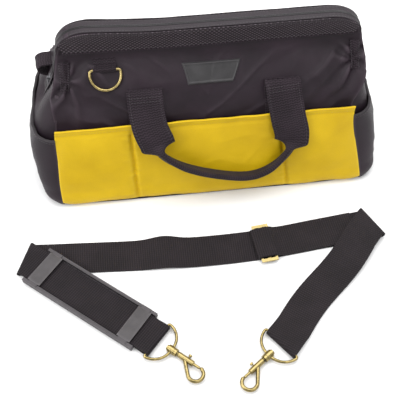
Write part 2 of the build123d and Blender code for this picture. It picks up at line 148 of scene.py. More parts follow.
def unit_rows(vectors):
    return vectors / np.linalg.norm(vectors, axis=-1, keepdims=True)


def noise_at(points, size, seed=0.0):
    """Smooth noise from -1 to 1 at each point, with features about size long."""
    flat = np.asarray(points, float).reshape(-1, 3) / size
    values = [noise.noise(Vector((p[0] + seed, p[1] - seed, p[2] + 3.1 * seed))) for p in flat]
    return np.array(values).reshape(np.asarray(points).shape[:-1])


def noise_on(a, b, size, seed):
    """Smooth noise over two coordinates."""
    return noise_at(joined(a, b, 0.0), size, seed)


def creases(a, b, size, seed, sharpness):
    """Thin ridges, from 0 to 1, along the lines where the noise passes zero."""
    return np.clip(1 - np.abs(noise_on(a, b, size, seed)) * sharpness, 0, 1)


def normals_of(grid):
    across = np.gradient(grid, axis=1)
    up = np.gradient(grid, axis=0)
    n = np.cross(across, up)
    return n / np.maximum(np.linalg.norm(n, axis=2, keepdims=True), 1e-9)


def lengths(grid, axis):
    step = np.linalg.norm(np.diff(grid, axis=axis), axis=2)
    pad = [(1, 0), (0, 0)] if axis == 0 else [(0, 0), (1, 0)]
    return np.cumsum(np.pad(step, pad), axis=axis)


def make_object(name, points, faces, weave, sharp=40.0):
    """A mesh object from points in millimetres, with its cloth coordinates as an attribute."""
    mesh = bpy.data.meshes.new(name)
    mesh.from_pydata((np.asarray(points) * MM).tolist(), [], faces)
    attribute = mesh.attributes.new("weave", "FLOAT_VECTOR", "POINT")
    attribute.data.foreach_set("vector", (np.asarray(weave) * MM).astype(np.float32).ravel())
    mesh.shade_smooth()
    mesh.set_sharp_from_angle(angle=math.radians(sharp))
    mesh.update()
    obj = bpy.data.objects.new(name, mesh)
    bpy.context.scene.collection.objects.link(obj)
    return obj


def grid_faces(rows, cols, start=0, flip=False, closed=False):
    faces = []
    for r in range(rows - 1):
        for c in range(cols if closed else cols - 1):
            d = (c + 1) % cols
            quad = [r * cols + c, r * cols + d, (r + 1) * cols + d, (r + 1) * cols + c]
            faces.append([start + i for i in (reversed(quad) if flip else quad)])
    return faces


def cloth_sheet(name, grid, thickness, lift=0.0, ribbon=False):
    """A sheet of cloth with two sides and a rim; grid is rows by columns, seen from outside.
    A ribbon's weave keeps its rows square to its middle column."""
    rows, cols = grid.shape[:2]
    n = normals_of(grid)
    outer = grid + n * lift
    inner = outer - n * thickness
    u, v = lengths(grid, 1), lengths(grid, 0)
    u = u - u[:, cols // 2][:, None]
    if ribbon:
        v = v[:, cols // 2][:, None] + 0 * v
    weave = np.dstack([u, v, np.zeros_like(u)])
    count = rows * cols
    faces = grid_faces(rows, cols) + grid_faces(rows, cols, count, flip=True)
    rim = [r * cols for r in range(rows)] + [(rows - 1) * cols + c for c in range(1, cols)]
    rim += [r * cols + cols - 1 for r in range(rows - 2, -1, -1)] + list(range(cols - 2, 0, -1))
    for a, b in zip(rim, rim[1:] + rim[:1]):
        faces.append([a, b, b + count, a + count])
    points = np.concatenate([outer.reshape(-1, 3), inner.reshape(-1, 3)])
    weaves = np.concatenate([weave.reshape(-1, 3)] * 2)
    return make_object(name, points, faces, weaves, 50)


def tube(name, path, radius, sides=10, closed=False, squash=1.0):
    """A round bead along a path of points."""
    if closed:
        tangent = np.roll(path, -1, axis=0) - np.roll(path, 1, axis=0)
    else:
        tangent = np.gradient(path, axis=0)
    tangent = unit_rows(tangent)
    side = unit_rows(np.cross(tangent, (0.31, 0.17, 0.93)))    # any direction off every path
    up = np.cross(side, tangent)
    angle = np.linspace(0, 2 * math.pi, sides, endpoint=False)
    cosine, sine = np.cos(angle)[:, None], squash * np.sin(angle)[:, None]
    points = np.concatenate([path[i] + radius * (cosine * side[i] + sine * up[i])
                             for i in range(len(path))])
    faces = grid_faces(len(path), sides, closed=True)
    if closed:
        last = (len(path) - 1) * sides
        faces += [[last + i, last + (i + 1) % sides, (i + 1) % sides, i] for i in range(sides)]
    else:
        faces += [list(range(sides))[::-1], [(len(path) - 1) * sides + i for i in range(sides)]]
    weave = [(a * radius, s, 0) for s in run_of(path) for a in angle]
    return make_object(name, points, faces, weave)


def beads(name, places, along, normal, size):
    """Many small rounded bars: stitches or teeth. size is (length, width, height)."""
    half = np.array(size) / 2
    sunk = 0.2                            # how deep a bar's foot lies in the cloth
    profile = [(-1, 0), (-0.7, 0.8), (0.7, 0.8), (1, 0)]
    points, faces, weave = [], [], []
    for place, t, n in zip(places, along, normal):
        b = np.cross(n, t)
        start = len(points)
        for x, h in profile:
            for y, z in ((-1, 0), (-0.6, 1), (0.6, 1), (1, 0)):
                points.append(place + t * x * half[0] + b * y * half[1] * (0.4 + h * 0.75)
                              + n * (z * 2 * half[2] * h - sunk))
                weave.append((x * half[0], y * half[1], 0))
        faces += grid_faces(4, 4, start)
        faces.append([start + i for i in (12, 8, 4, 0)])
        faces.append([start + i for i in (3, 7, 11, 15)])
    return make_object(name, points, faces, weave, 60)


def stitch_row(name, line, normal, length=3.2, gap=1.2, width=0.9):
    """Stitches along a line of points, with the surface's normal at each point."""
    height = 0.45
    run = run_of(line)
    stops = np.arange(length, run[-1] - length / 2, length + gap)
    place = at_lengths(stops, run, line)
    along = unit_rows(at_lengths(stops + 1, run, line) - place)
    up = unit_rows(at_lengths(stops, run, normal))
    return beads(name, place, along, up, (length, width, height))


LEAN = hermite((0, 6), (60, 11), (127, 13), (150, 8), (172, 2), (200, 0))    # against height
SINK = 8.0                                # how far the right of the mouth hangs down


def settle(obj):
    """Lets the filled bag slouch: its middle leans left and the right of the mouth sinks."""
    mesh = obj.data
    place = np.empty(len(mesh.vertices) * 3, np.float32)
    mesh.vertices.foreach_get("co", place)
    place = place.reshape(-1, 3)
    x, y, z = (place / MM).T
    held = np.exp(-(y / 24) ** 2) * smooth_step(112, 134, z) * (x < -150)
    spread = 1 + 0.05 * (1 - smooth_step(0, 127, z)) * smooth_step(60, 110, np.abs(y))
    place[:, 0] = (x * spread - LEAN(z) * (1 - held)) * MM
    place[:, 2] -= SINK * smooth_step(-200, -60, x) * smooth_step(188, 240, z) * MM
    mesh.vertices.foreach_set("co", place.ravel())
    mesh.update()


def finish_piece(obj, body, material, replaces=()):
    """Gives a piece its material and body; a piece that spans two bodies keeps its transform baked in
    and goes under no body.
    """
    if isinstance(body, tuple) or body in ("bag_body", "front_mouth", "back_mouth"):
        settle(obj)
    obj.data.materials.clear()
    obj.data.materials.append(material)
    if isinstance(body, tuple):
        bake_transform(obj)
    else:
        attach(obj, body)
    if replaces:
        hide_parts(*replaces)


def sew(name, grid, where, body, slot, thread, *size):
    """A row of stitches on the points of a grid that an index picks."""
    finish_piece(stitch_row(name, grid[where], normals_of(grid)[where], *size), body, thread)


def mirrored(grid, axis):
    """The grid's mirror image, with its columns turned round so that it still faces out."""
    other = grid.copy()
    other[..., axis] *= -1
    return other[:, ::-1]


def on_side(grid, side):
    """A front piece's grid, or its mirror image on the back."""
    return grid if side == "front" else mirrored(grid, 1)


# ---------- materials

class Shader:
    """A principled material with short ways to add nodes."""

    def __init__(self, name, roughness, metallic=0.0, sheen=0.0, specular=0.5):
        self.material = bpy.data.materials.new(name)
        self.material.use_nodes = True
        self.tree = self.material.node_tree
        self.bsdf = self.tree.nodes["Principled BSDF"]
        settings = {"Roughness": roughness, "Metallic": metallic, "Sheen Weight": sheen,
                    "Sheen Roughness": 0.45, "Specular IOR Level": specular}
        for key, value in settings.items():
            self.bsdf.inputs[key].default_value = value

    def node(self, kind, inputs=None, **settings):
        made = self.tree.nodes.new(kind)
        for key, value in settings.items():
            setattr(made, key, value)
        for key, value in (inputs or {}).items():
            if isinstance(value, bpy.types.NodeSocket):
                self.tree.links.new(value, made.inputs[key])
            else:
                made.inputs[key].default_value = value
        return made

    def math(self, operation, a, b=0.0, c=0.0):
        return self.node("ShaderNodeMath", {0: a, 1: b, 2: c}, operation=operation).outputs[0]

    def add(self, a, b):
        return self.math("ADD", a, b)

    def times(self, a, b):
        return self.math("MULTIPLY", a, b)

    def weave(self):
        """Cloth coordinates in metres: across and along the piece."""
        attribute = self.node("ShaderNodeAttribute", attribute_name="weave")
        split = self.node("ShaderNodeSeparateXYZ", {0: attribute.outputs["Vector"]})
        return attribute.outputs["Vector"], split.outputs[0], split.outputs[1]

    def object_place(self):
        return self.node("ShaderNodeTexCoord").outputs["Object"]

    def noise(self, vector, scale, detail=3.0, rough=0.55):
        inputs = {"Vector": vector, "Scale": scale, "Detail": detail, "Roughness": rough}
        return self.node("ShaderNodeTexNoise", inputs).outputs["Fac"]

    def wave(self, coordinate, pitch):
        """A sine from -1 to 1 with the given pitch in metres."""
        return self.math("SINE", self.math("MULTIPLY", coordinate, 2 * math.pi / pitch))

    def spread(self, value, low_in, high_in, low_out, high_out):
        inputs = {0: value, 1: low_in, 2: high_in, 3: low_out, 4: high_out}
        return self.node("ShaderNodeMapRange", inputs, clamp=True).outputs[0]

    def vary(self, value, low_out, high_out):
        """Spreads the middle of a noise over a range."""
        return self.spread(value, 0.3, 0.7, low_out, high_out)

    def mix(self, factor, a, b):
        inputs = {0: factor, 6: a, 7: b}
        return self.node("ShaderNodeMix", inputs, data_type="RGBA", clamp_factor=True).outputs[2]

    def bump(self, height, distance, strength=0.6):
        inputs = {"Height": height, "Distance": distance, "Strength": strength}
        node = self.node("ShaderNodeBump", inputs)
        self.tree.links.new(node.outputs[0], self.bsdf.inputs["Normal"])

    def set(self, key, socket):
        self.tree.links.new(socket, self.bsdf.inputs[key])

    def colour(self, factor, dark, light):
        self.set("Base Color", self.mix(factor, rgb(*dark), rgb(*light)))

    def edges(self, low_in, high_in):
        """1 on worn outer edges, 0 elsewhere."""
        point = self.node("ShaderNodeNewGeometry").outputs["Pointiness"]
        return self.spread(point, low_in, high_in, 0.0, 1.0)


def rgb(r, g, b):
    return (r, g, b, 1.0)


def cloth_material(name, dark, light, worn, pitch=0.0011, roughness=0.62, sheen=0.12):
    """Plain-woven coated polyester: fine weave, slubs, faint stains and worn folds, with painted shade
    in the weave's hollows.
    """
    s = Shader(name, roughness, sheen=sheen, specular=0.28)
    vector, across, along = s.weave()
    warp, weft = s.wave(across, pitch), s.wave(along, pitch)
    checks = s.times(warp, weft)
    slubs = s.noise(vector, 700.0, 4.0)
    patches = s.noise(vector, 14.0, 4.0)
    # The checks term is painted shade: the weave's hollows are painted darker and its raised crossings
    # lighter, following the bump's relief.
    shade = s.add(s.vary(patches, 0.0, 0.75), s.spread(checks, -1, 1, -0.12, 0.12))
    shade = s.add(shade, s.vary(slubs, -0.15, 0.15))
    colour = s.mix(shade, rgb(*dark), rgb(*light))
    colour = s.mix(s.times(s.edges(0.505, 0.56), 0.5), colour, rgb(*worn))
    s.set("Base Color", colour)
    s.set("Roughness", s.vary(slubs, roughness - 0.08, roughness + 0.1))
    height = s.add(s.times(checks, 0.5), s.times(slubs, 0.9))
    s.bump(height, 0.00018, 0.5)
    return s.material


def webbing_material(name, dark, light, rib, twill=0.5):
    """Heavy webbing: ribs across the strap, slanted by the twill, with fuzzy grooves; the colour follows
    the relief, with painted shade in the grooves and painted highlight on the ribs.
    """
    s = Shader(name, 0.78, sheen=0.05, specular=0.25)
    cross = 0.0034                        # pitch of the lengthwise columns
    vector, across, along = s.weave()
    zigzag = s.math("PINGPONG", across, cross)
    lean = s.math("MULTIPLY_ADD", zigzag, twill, along)
    ribs = s.wave(lean, rib)
    columns = s.wave(across, cross)
    fuzz = s.noise(vector, 1400.0, 3.0)
    height = s.add(ribs, s.times(columns, 0.35))
    # Colour from the relief height: painted shade in the grooves, painted highlight on the ribs.
    shade = s.add(s.spread(height, -1.2, 1.2, 0.0, 0.8), s.vary(fuzz, -0.2, 0.2))
    fade = s.noise(vector, 22.0, 3.0)
    shade = s.add(shade, s.spread(fade, 0.35, 0.65, -0.15, 0.15))
    s.colour(shade, dark, light)
    s.set("Roughness", s.vary(fuzz, 0.68, 0.86))
    s.bump(s.add(height, s.times(fuzz, 0.6)), 0.0005, 0.55)
    return s.material


def band_material():
    """Coarse open webbing with rows of small raised knots, painted lighter than the gaps: painted
    highlight on the knots, painted shade between them.
    """
    s = Shader("mouth_band_weave", 0.72, sheen=0.05, specular=0.3)
    pitch = 0.0062
    vector, across, along = s.weave()
    knots = s.times(s.wave(across, pitch), s.wave(along, pitch))
    knots = s.spread(knots, -0.2, 1.0, 0.0, 1.0)
    fuzz = s.noise(vector, 1200.0, 3.0)
    cloud = s.noise(vector, 25.0, 3.0)
    # The knots are painted lighter than the gaps: painted highlight on the raised knots, painted shade
    # between them.
    shade = s.times(knots, s.spread(cloud, 0.35, 0.62, 0.75, 1.0))
    shade = s.add(shade, s.vary(fuzz, -0.1, 0.15))
    s.colour(shade, (0.004, 0.002, 0.0035), (0.095, 0.072, 0.088))
    s.set("Roughness", s.vary(fuzz, 0.62, 0.8))
    s.bump(s.add(knots, s.times(fuzz, 0.3)), 0.0006, 0.6)
    return s.material


def tape_material():
    """Herringbone zipper tape, with painted highlight on its raised lines and painted shade between
    them.
    """
    s = Shader("zip_tape_weave", 0.66, sheen=0.05, specular=0.35)
    vector, across, along = s.weave()
    chevron = s.math("PINGPONG", across, 0.003)
    lines = s.wave(s.add(along, chevron), 0.0018)
    fuzz = s.noise(vector, 900.0, 3.0)
    # Colour from the herringbone relief: painted highlight on the raised lines, painted shade between
    # them.
    shade = s.add(s.spread(lines, -1, 1, 0.1, 0.6), s.vary(fuzz, -0.15, 0.15))
    s.colour(shade, (0.012, 0.008, 0.011), (0.040, 0.030, 0.037))
    s.bump(lines, 0.0002, 0.4)
    s.set("Roughness", s.vary(fuzz, 0.6, 0.75))
    return s.material


def metal_material(name, bright, dark, roughness, patina=0.55):
    """Plated metal with rubbed bright edges and darker patina in its hollows."""
    s = Shader(name, roughness, metallic=1.0)
    place = s.object_place()
    cloud = s.noise(place, 160.0, 4.0)
    grain = s.noise(place, 2600.0, 2.0)
    tone = s.add(s.spread(cloud, 0.35, 0.65, 0.0, patina), s.times(s.edges(0.44, 0.54), 0.8))
    tone = s.add(tone, s.vary(grain, -0.08, 0.08))
    s.colour(tone, dark, bright)
    s.set("Roughness", s.vary(cloud, roughness - 0.06, roughness + 0.14))
    s.bump(s.add(grain, s.times(cloud, 2.0)), 0.00006, 0.35)
    return s.material


def rubber_material(name, dark, light, roughness, grain):
    """Moulded rubber: fine grain, dusty mottling and lighter rubbed edges."""
    s = Shader(name, roughness, specular=0.45)
    place = s.object_place()
    skin = s.noise(place, grain, 3.0)
    dust = s.noise(place, 60.0, 4.0)
    tone = s.add(s.spread(dust, 0.35, 0.65, 0.2, 0.45), s.times(s.edges(0.5, 0.58), 0.6))
    tone = s.add(tone, s.vary(skin, -0.1, 0.1))
    s.colour(tone, dark, light)
    s.set("Roughness", s.vary(skin, roughness - 0.05, roughness + 0.1))
    s.bump(skin, 0.00012, 0.5)
    return s.material


def board_material():
    """Pressed fibre board with flecks and stains."""
    s = Shader("fibre_board", 0.8)
    place = s.object_place()
    flecks = s.noise(place, 420.0, 5.0, 0.7)
    stain = s.noise(place, 12.0, 3.0)
    tone = s.add(s.spread(flecks, 0.35, 0.65, 0.0, 0.7), s.spread(stain, 0.35, 0.65, -0.2, 0.3))
    s.colour(tone, (0.030, 0.028, 0.028), (0.10, 0.092, 0.088))
    s.set("Roughness", s.vary(flecks, 0.7, 0.92))
    s.bump(flecks, 0.0003, 0.5)
    return s.material


def thread_material(name, colour):
    """Twisted sewing thread."""
    s = Shader(name, 0.55, sheen=0.2)
    vector, _, _ = s.weave()
    twist = s.noise(vector, 2400.0, 2.0)
    darker = tuple(c * 0.6 for c in colour)
    s.colour(s.vary(twist, 0.0, 1.0), darker, colour)
    s.set("Roughness", s.vary(twist, 0.45, 0.65))
    s.bump(twist, 0.00015, 0.5)
    return s.material


BLACK = cloth_material("black_polyester", (0.0075, 0.0032, 0.0065), (0.023, 0.012, 0.020),
                       (0.06, 0.042, 0.055), roughness=0.52, sheen=0.02)
YELLOW = cloth_material("yellow_polyester", (0.54, 0.345, 0.001), (0.71, 0.475, 0.004),
                        (0.80, 0.58, 0.03), roughness=0.5, sheen=0.0)
HANDLE_WEB = webbing_material("handle_webbing", (0.006, 0.003, 0.005), (0.034, 0.022, 0.031),
                              rib=0.0036)
STRAP_WEB = webbing_material("shoulder_webbing", (0.005, 0.0035, 0.0045), (0.022, 0.016, 0.020),
                             rib=0.0032, twill=0.0)
BAND = band_material()
TAPE = tape_material()
BINDING = cloth_material("binding_tape", (0.012, 0.009, 0.011), (0.045, 0.038, 0.043),
                         (0.12, 0.10, 0.11), 0.0016)
COIL = rubber_material("coil_plastic", (0.006, 0.005, 0.006), (0.03, 0.027, 0.03), 0.35, 2500.0)
PAD_RUBBER = rubber_material("pad_rubber", (0.012, 0.010, 0.012), (0.055, 0.048, 0.053),
                             0.5, 1500.0)
BAR_RUBBER = rubber_material("pad_bar_rubber", (0.030, 0.027, 0.029), (0.10, 0.092, 0.096),
                             0.62, 1500.0)
PATCH_RUBBER = rubber_material("label_rubber", (0.008, 0.007, 0.008), (0.045, 0.042, 0.045),
                               0.45, 2200.0)
PALE_BRASS = metal_material("pale_brass", (0.42, 0.33, 0.14), (0.12, 0.085, 0.028), 0.2, 0.8)
ANTIQUE = metal_material("antique_brass", (0.33, 0.26, 0.11), (0.040, 0.029, 0.009), 0.2)
ENAMEL = metal_material("dark_enamel", (0.20, 0.20, 0.21), (0.025, 0.022, 0.025), 0.34, 0.35)
STEEL = metal_material("bare_steel", (0.66, 0.66, 0.68), (0.32, 0.32, 0.33), 0.3)
BOARD = board_material()
BLACK_THREAD = thread_material("black_thread", (0.035, 0.028, 0.033))
YELLOW_THREAD = thread_material("yellow_thread", (0.62, 0.42, 0.02))


# ---------- the bag's walls

def wrinkle(x, z):
    """Soft sagging folds of the upper cloth, tight and radiating round the mouth's corner sleeves."""
    soft = noise_on(x, z * 1.5, 60, 2.0) * 4.4
    lean = np.where(x > 0, -1.0, 1.0)
    sharp = creases(x * 0.75 + lean * z * 1.1, (z - lean * x * 0.35) * 0.4, 27, 5.0, 3.2) * 2.5
    dx, dz = np.abs(x) - 200, z - 176     # from the middle of a corner sleeve
    r = np.hypot(dx, dz)
    ray = np.cos(np.arctan2(dz, dx) * 6 + noise_on(x, z, 30, 9.0) * 3)
    corner = ray * np.exp(-r / 42) * r / (r + 10) * 5.6
    quiet = smooth_step(POCKET_TOP - 25, POCKET_TOP + 5, z) * (1 - 0.85 * smooth_step(186, 198, z))
    return (soft + sharp * (0.45 + np.exp(-r / 70)) + corner) * quiet


def wall_slope(z):
    """How much the front wall's depth changes over one millimetre of height."""
    return WALL_DEPTH(z + 0.5) - WALL_DEPTH(z - 0.5)


def wall_point(x, z, lift=0.0):
    """A point on the front wall or slope, lifted off its cloth."""
    slope = wall_slope(z)
    size = np.sqrt(1 + slope * slope)
    out = wrinkle(x, z) + lift
    return joined(x, -(WALL_DEPTH(z) + out / size), z - slope * out / size)


def both_walls(name, grid, material, bodies, replaced, thickness):
    """The same sheet on the front and on the back; bodies and replaced name the front's."""
    for side in ("front", "back"):
        place = tuple(b.replace("front", side) for b in bodies)
        names = [n.replace("front", side) for n in replaced]
        obj = cloth_sheet(side + "_" + name, on_side(grid, side), thickness)
        finish_piece(obj, place if len(place) > 1 else place[0], material, names)


def upper_cloth():
    """The wall's cloth from the floor over the fold to the ridge."""
    z = np.concatenate([np.linspace(3, 120, 26), np.linspace(123, RIDGE_Z - 1, 70)])[:, None]
    wall_half = FRONT_SEAM_X - 2 + 10.5 * smooth_step(120, FOLD_Z, z)
    x = np.linspace(-1, 1, 181)[None, :] * np.where(z < FOLD_Z, wall_half, end_half(z))
    return wall_point(x, z)


def mouth_band():
    """The webbing round the mouth, a little wider than the cloth under it."""
    lift = 2.4
    z = np.linspace(BAND_FOOT_Z, RIDGE_Z + 0.6, 22)[:, None]
    half = end_half(np.minimum(z, RIDGE_Z)) + 0.6 - 9 * smooth_step(226, 208, z)
    x = np.linspace(-1, 1, 181)[None, :] * half
    return wall_point(x, z, lift + noise_on(x, z, 45, 12.0) * 0.9)


band_shape = mouth_band()
both_walls("upper_cloth", upper_cloth(), BLACK, ("bag_body", "front_mouth"),
           ["front_panel", "front_mouth_panel"], 1.7)
both_walls("mouth_band", band_shape, BAND, ("front_mouth",),
           ["front_mouth_band"], 1.5)


def rim_line(z0, count=260):
    """The mouth's outline, from one end over the ridge to the other, with outward normals."""
    corner = RIDGE_Z - CORNER_Z
    z_up = np.concatenate([np.linspace(z0, corner, 40),
                           RIDGE_Z - CORNER_Z * (1 - np.sin(np.linspace(0.05, math.pi / 2, 30)))])
    x_up = -end_half(z_up)
    ridge = np.linspace(x_up[-1], -x_up[-1], 40)[1:-1]
    line = np.stack([np.concatenate([x_up, ridge, -x_up[::-1]]),
                     np.concatenate([z_up, np.full(38, z_up[-1]), z_up[::-1]])], -1)
    run = run_of(line)
    line = at_lengths(np.linspace(0, run[-1], count), run, line)
    t = unit_rows(np.gradient(line, axis=0))
    return line, np.stack([-t[:, 1], t[:, 0]], -1)


def rim_point(line, normal, y, lift):
    return joined(line[:, 0] + normal[:, 0] * lift, y, line[:, 1] + normal[:, 1] * lift)


def mouth_rim(side):
    """What sits in one half of the mouth: zipper tape and teeth, wire and hem, end gussets."""
    sign = -1.0 if side == "front" else 1.0
    outer_y, tape_width = 11.4, 10.1
    line, normal = rim_line(FOLD_Z + 1)
    wave = noise_at(joined(line[:, 0], line[:, 1], sign * 20), 30) * 0.5
    grid = np.array([rim_point(line, normal, sign * (outer_y - tape_width * share),
                               1.1 + wave * (1 - share)) for share in np.linspace(0, 1, 7)])
    grid = grid if side == "front" else grid[:, ::-1]
    tape = cloth_sheet(side + "_rim_tape", grid, 1.0)
    finish_piece(tape, side + "_mouth", TAPE, [side + "_mouth_zip_tape"])
    fine, out = rim_line(FOLD_Z + 1, 620)
    places = rim_point(fine, out, sign * 1.1, 1.3)[1:-1]
    across = np.tile([0.0, 1.0, 0.0], (len(places), 1))
    teeth = beads(side + "_teeth", places, across, joined(out[:, 0], 0.0, out[:, 1])[1:-1],
                  (2.1, 1.25, 0.75))
    finish_piece(teeth, side + "_mouth", COIL, [side + "_mouth_zip_coil"])
    inner, inward = rim_line(FOLD_Z + 2, 120)
    wire = tube(side + "_wire", rim_point(inner, inward, sign * 8.0, -4.5), 2.2, 12)
    finish_piece(wire, side + "_mouth", STEEL, [side + "_mouth_wire"])
    hem = tube(side + "_wire_hem", rim_point(inner, inward, sign * 7.6, -3.4), 4.1, 14)
    finish_piece(hem, side + "_mouth", BLACK)
    stitches = stitch_row(side + "_tape_stitches", rim_point(line, normal, sign * 9.4, 1.3),
                          joined(normal[:, 0], 0.0, normal[:, 1]))
    finish_piece(stitches, side + "_mouth", BLACK_THREAD)
    tuck = 36.0                           # how far the gussets reach below the fold
    tucked = np.linspace(FOLD_Z - tuck, FOLD_Z - 2, 14)
    z = np.concatenate([tucked, np.linspace(FOLD_Z + 0.5, RIDGE_Z - 6, 40)])[:, None]
    share = np.linspace(0, 1, 16)[None, :]
    depth = np.minimum(WALL_DEPTH(z), 44) * (1 - share) + 1.6 * share
    pinch = 1 - smooth_step(215, 236, z)
    for name, end in (("left", -1), ("right", 1)):
        cockle = noise_on(depth, z, 18, 3.0 + end)
        sink = ((2.2 * pinch + 1.2 * cockle) * np.sin(share * math.pi)
                + 9 * smooth_step(FOLD_Z, FOLD_Z - 8, z))
        x = end * (end_half(np.maximum(z, FOLD_Z)) - 0.4 - sink)
        sheet = joined(x, sign * depth, z)
        sheet = sheet if sign * end > 0 else sheet[:, ::-1]
        finish_piece(cloth_sheet(side + "_" + name + "_gusset", sheet, 1.2), side + "_mouth",
                     BLACK, [side + "_mouth_gussets"] if name == "left" else [])


for half in ("front", "back"):
    mouth_rim(half)


# ---------- end cloth and end pockets

def end_grid(z, depth, length, root, power, sag, seed):
    """The right end's cloth: a bulging sheet from the front seam round to the back seam."""
    y = np.sin(np.linspace(-1, 1, 61) * math.pi / 2)[None, :] * depth(z)
    share = np.abs(y) / depth(z)
    bow = (1 - share ** power) ** 0.62 * (1 - 0.3 * smooth_step(-70, 100, y))
    x = root + (length(z) - root) * bow
    dent = noise_on(y, z, 42, seed) * sag * bow
    crease = creases(y * 0.5 + z * 0.8, y * 0.8, 30, seed + 4, 3)
    return joined(x + dent + crease * sag * 0.5 * bow, y, z)


def bound_edge(name, edge, radius, material, body, squash=0.55):
    finish_piece(tube(name, edge, radius, squash=squash), body, material)


wall_rows = np.linspace(3, FOLD_Z - 1, 60)[:, None]
pocket_rows = np.linspace(0.9, END_POCKET_TOP, 52)[:, None]
for number, side in enumerate(("right", "left")):
    wall = end_grid(wall_rows, WALL_DEPTH, WALL_LENGTH, FRONT_SEAM_X - 3, 4.6, 1.8, 3.0 + number)
    pocket = end_grid(pocket_rows, POCKET_DEPTH, POCKET_LENGTH, FRONT_SEAM_X - 0.5, 5.0, 2.6,
                      8.0 + number)
    pocket[..., 2] += 3.0 * smooth_step(70, 120, pocket[..., 2]) * (np.abs(pocket[..., 1]) / 90) ** 2
    if side == "left":
        wall, pocket = mirrored(wall, 0), mirrored(pocket, 0)
    finish_piece(cloth_sheet(side + "_end_cloth", wall, 1.7), "bag_body", BLACK,
                 [side + "_end_panel"])
    finish_piece(cloth_sheet(side + "_pocket_cloth", pocket, 1.5), "bag_body", BLACK,
                 [side + "_end_pocket"])
    bound_edge(side + "_pocket_binding", pocket[-1], 2.1, BINDING, "bag_body")
    sew(side + "_pocket_stitches", pocket, -3, "bag_body", "black_cloth", BLACK_THREAD)


for side in ("front", "back"):
    grid = on_side(band_shape, side)
    bound_edge(side + "_band_piping", grid[0], 1.3, HANDLE_WEB, side + "_mouth",
               0.8)
    for row in (2, -3):
        sew(side + "_mouth_band_stitches_" + str(row % 22), grid, row, side + "_mouth",
            "black_webbing", BLACK_THREAD)

# ---------- yellow pocket bands

HEM_DROP = 7.0                            # from the band's edge down to the hem's seam


def pocket_band():
    """The yellow band: three bellied pockets between sewn, puckered dividers."""
    x = np.linspace(-1, 1, 241)[None, :] * FRONT_SEAM_X
    foot = 0.9 + 9 * np.clip((np.abs(x) - FRONT_SEAM_X + 24) / 24, 0, 1) ** 2
    share = np.linspace(0, 1, 64)[:, None]
    z = foot + (POCKET_TOP - foot) * share
    to_divider = np.abs(np.abs(x) - DIVIDER_X)
    groove = (np.exp(-(to_divider / 2.8) ** 2) * (1 - smooth_step(108, 121, z))
              * smooth_step(0, 16, z))
    edge = smooth_step(0, 14, FRONT_SEAM_X - np.abs(x))
    room = np.where(np.abs(x) < DIVIDER_X, np.cos(x / DIVIDER_X * math.pi / 2),
                    np.sin((np.abs(x) - DIVIDER_X) / (FRONT_SEAM_X - DIVIDER_X) * math.pi))
    belly = 3.4 * np.clip(room, 0, 1) ** 0.7 * np.sin(np.clip(share * 1.08, 0, 1) * math.pi) ** 0.6
    cockle = noise_on(x, z * 0.5, 34, 6.0) * 1.6 * edge
    pucker = noise_on(x * 0.5, z * 1.6, 9, 7.0) * np.exp(-to_divider / 13) * 1.5
    crush = creases(0.8 * x - 0.6 * z, 0.5 * x + 0.9 * z, 46, 3.0, 4) * 0.5 * edge
    hem = -1.3 * np.exp(-((z - POCKET_TOP + HEM_DROP) / 1.3) ** 2)
    out = belly + cockle + pucker + crush + hem - 3.4 * groove
    return joined(x, -(POCKET_DEPTH(z) + out), z)


band = pocket_band()
for side in ("front", "back"):
    grid = on_side(band, side)
    finish_piece(cloth_sheet(side + "_pocket_band", grid, 1.6), "bag_body", YELLOW,
                 [side + "_pocket", side + "_pocket_seams"])
    bound_edge(side + "_band_hem", grid[-1] - 0.6 * normals_of(grid)[-1], 1.9, YELLOW, "bag_body",
               0.8)
    row = int(np.argmin(np.abs(band[:, 120, 2] - (POCKET_TOP - HEM_DROP))))
    seams = [("hem", row), ("foot", 3)]
    for name, x in (("left", -DIVIDER_X), ("right", DIVIDER_X)):
        col = int(np.argmin(np.abs(grid[0, :, 0] - x)))
        top = int(np.argmin(np.abs(grid[:, col, 2] - 118)))
        seams.append((name + "_divider", (slice(2, top), col)))
    for name, where in seams:
        sew(side + "_" + name + "_stitches", grid, where, "bag_body", "yellow_cloth",
            YELLOW_THREAD)


# ---------- pieces sewn on the walls

def on_wall(x_left, x_right, z_low, z_high, lift):
    """A patch that follows the front wall between two functions of height."""
    z = np.linspace(z_low, z_high, 30)[:, None]
    share = np.linspace(0, 1, 24)[None, :]
    x = x_left(z) * (1 - share) + x_right(z) * share
    return wall_point(x, z, lift)


def label_grid():
    """Moulded badge: a plain trapezoid with a raised rounded border and a shallow sunk field."""
    share = np.linspace(-1, 1, 71)[None, :]
    rise = np.linspace(-1, 1, 41)[:, None]
    middle_z, half_height, border = 174.0, 10.6, 3.4
    z = middle_z + rise * half_height
    half = 32 + (z - 163.5) / 21 * 9.5
    rim = np.maximum(np.abs(share) * half - (half - border), np.abs(rise) * half_height - 7.4)
    rim = np.clip(rim / 3.2, -0.6, 1)
    height = 1.6 + 1.0 * np.exp(-((rim - 0.45) / 0.3) ** 2) - 1.5 * smooth_step(0.75, 1.0, rim)
    return wall_point(share * half, z, height)


finish_piece(cloth_sheet("badge", label_grid(), 1.4), "front_mouth", PATCH_RUBBER,
             ["label_patch"])

